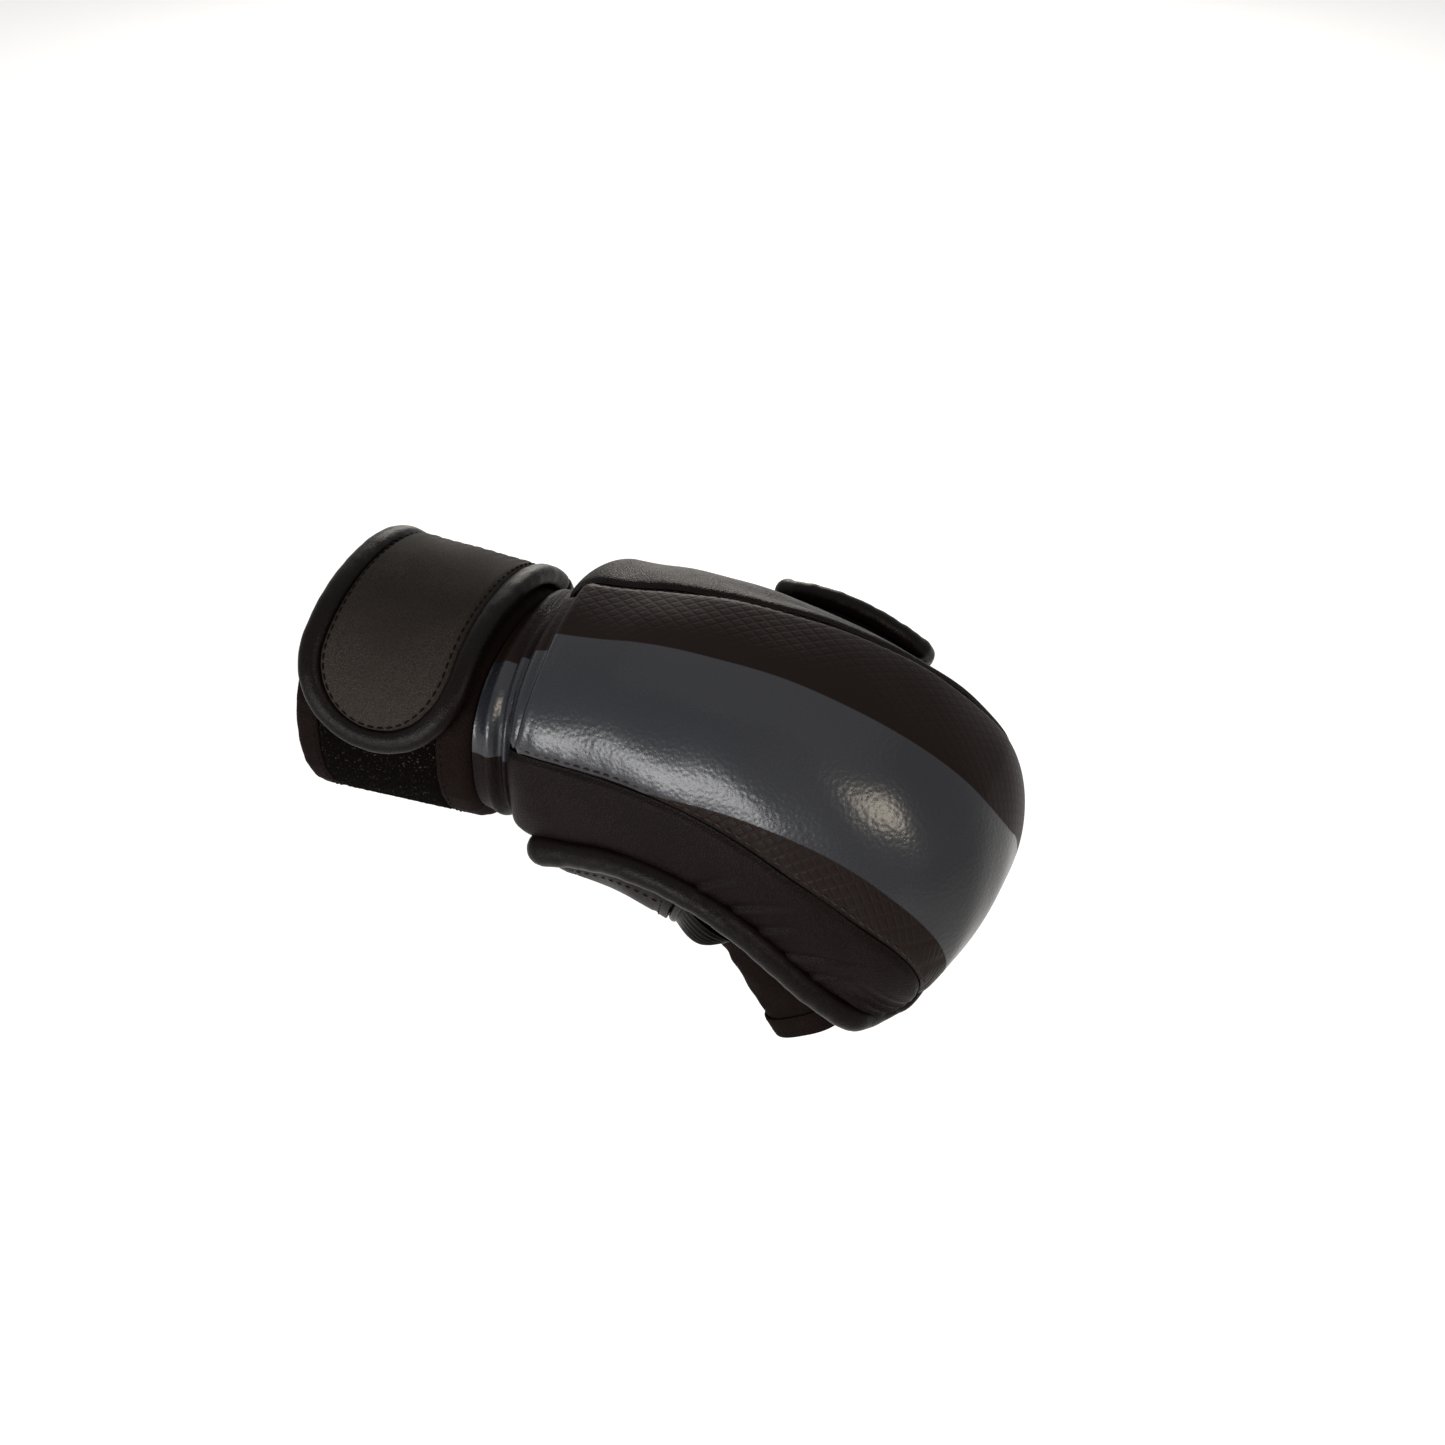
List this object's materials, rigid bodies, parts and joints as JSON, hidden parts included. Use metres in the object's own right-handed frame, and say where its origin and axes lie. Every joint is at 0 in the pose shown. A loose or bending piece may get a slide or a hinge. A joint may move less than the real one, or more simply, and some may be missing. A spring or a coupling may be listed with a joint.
{
  "type": "mma glove",
  "caption": "Right-hand padded mixed martial arts glove with a curved knuckle pad, open palm, finger stalls, padded thumb and strapped wrist cuff.",
  "frame": {"origin": "centre of the wrist opening, at the cuff's free edge", "axes": "+X along the forearm towards the fingers, +Y to the thumb side, +Z out of the back of the hand"},
  "size_m": [0.238, 0.1493, 0.14],
  "materials": {
    "side_leather": "matte black synthetic leather with a fine grain",
    "edge_leather": "soft matte black synthetic leather, rolled",
    "strap_leather": "matte charcoal synthetic leather",
    "back_leather": "dark brown-black synthetic leather, satin, with a broad satin grey band and an embossed scale strip",
    "lining": "black woven lining",
    "hook_and_loop": "black hook-and-loop pile",
    "foam": "grey closed-cell foam"
  },
  "bodies": {
    "cuff": {"cuff_foam": "foam", "cuff_hand_binding": "edge_leather", "cuff_lining": "lining", "cuff_loop_patch": "hook_and_loop", "cuff_shell": "side_leather", "cuff_wrist_binding": "edge_leather", "strap_base": "strap_leather"},
    "strap": {"strap_backing": "side_leather", "strap_foam": "foam", "strap_hook_patch": "hook_and_loop", "strap_panel": "strap_leather", "strap_roll": "edge_leather"},
    "hand": {"finger_anchor_strip": "side_leather", "front_piping": "edge_leather", "heel_binding": "edge_leather", "little_piping": "edge_leather", "neck_back_panel": "side_leather", "neck_little_panel": "side_leather", "neck_palm_panel": "side_leather", "neck_thumb_panel": "side_leather", "pad_inner_foam": "foam", "pad_lining": "lining", "pad_little_gusset": "side_leather", "pad_outer_foam": "foam", "pad_thumb_gusset": "side_leather", "pad_top_cover": "back_leather", "palm_strap": "side_leather", "palm_strap_front_binding": "edge_leather", "palm_strap_lining": "lining", "palm_strap_rear_binding": "edge_leather", "thumb_piping": "edge_leather", "thumb_web": "side_leather"},
    "thumb": {"thumb_hem": "edge_leather", "thumb_pad_cover": "side_leather", "thumb_pad_foam": "foam", "thumb_roll": "edge_leather", "thumb_stall": "side_leather"},
    "little_stall_body": {"little_hem": "edge_leather", "little_mouth_binding": "edge_leather", "little_stall": "side_leather"},
    "ring_stall_body": {"ring_hem": "edge_leather", "ring_mouth_binding": "edge_leather", "ring_stall": "side_leather"},
    "middle_stall_body": {"middle_hem": "edge_leather", "middle_mouth_binding": "edge_leather", "middle_stall": "side_leather"},
    "index_stall_body": {"index_hem": "edge_leather", "index_mouth_binding": "edge_leather", "index_stall": "side_leather"}
  },
  "joints": [
    {"name": "strap_open", "type": "hinge", "parent": "cuff", "child": "strap", "pos_m": [0.031, 0.04343, 0.02712], "axis": [-1, 0, 0], "range_deg": [0, 110]},
    {"name": "wrist_flex", "type": "hinge", "parent": "cuff", "child": "hand", "pos_m": [0.0708, 0, 0], "axis": [0, 1, 0], "range_deg": [-15, 15], "deforming": ["neck_back_panel", "neck_little_panel", "neck_palm_panel", "neck_thumb_panel"]},
    {"name": "thumb_swing", "type": "hinge", "parent": "hand", "child": "thumb", "pos_m": [0.098, 0.0548, -0.017], "axis": [0, 0, 1], "range_deg": [0, 30], "deforming": ["thumb_web"]},
    {"name": "little_flex", "type": "hinge", "parent": "hand", "child": "little_stall_body", "pos_m": [0.16232, -0.0353, -0.0109], "axis": [0, 1, 0], "range_deg": [-4, 25]},
    {"name": "ring_flex", "type": "hinge", "parent": "hand", "child": "ring_stall_body", "pos_m": [0.16265, -0.0131, -0.01038], "axis": [0, 1, 0], "range_deg": [-10, 25]},
    {"name": "middle_flex", "type": "hinge", "parent": "hand", "child": "middle_stall_body", "pos_m": [0.16265, 0.0091, -0.01038], "axis": [0, 1, 0], "range_deg": [-10, 25]},
    {"name": "index_flex", "type": "hinge", "parent": "hand", "child": "index_stall_body", "pos_m": [0.16232, 0.0313, -0.0109], "axis": [0, 1, 0], "range_deg": [-4, 25]}
  ]
}
